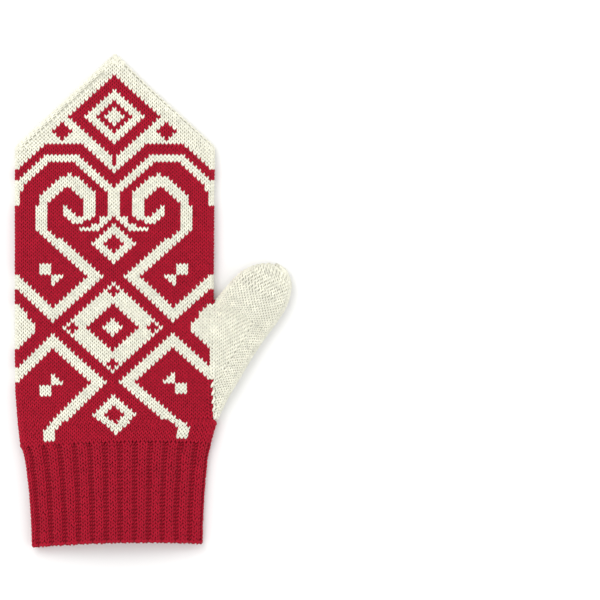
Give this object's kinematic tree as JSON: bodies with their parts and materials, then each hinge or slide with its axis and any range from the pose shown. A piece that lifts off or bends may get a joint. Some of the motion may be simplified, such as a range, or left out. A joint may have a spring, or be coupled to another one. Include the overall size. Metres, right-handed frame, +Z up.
{
  "type": "knitted mitten",
  "caption": "Adult's left-hand knitted mitten lying on its palm side: ribbed cuff, colour-work hand with a pointed top, and a gusset thumb, hollow and open at the wrist.",
  "frame": {"origin": "on the surface that the mitten lies on, below the middle of its outline", "axes": "+X to the thumb's side, +Y from the cuff to the fingertips, +Z up through the back of the hand"},
  "size_m": [0.1514, 0.2692, 0.016],
  "materials": {
    "red_rib": "matt red wool, knit two purl two ribbing",
    "colour_work": "matt red and cream wool, stranded plain knitting",
    "cream_knit": "matt cream wool, plain knitting"
  },
  "bodies": {
    "root": {"cuff": "red_rib", "hand": "colour_work", "thumb": "cream_knit"}
  },
  "joints": []
}
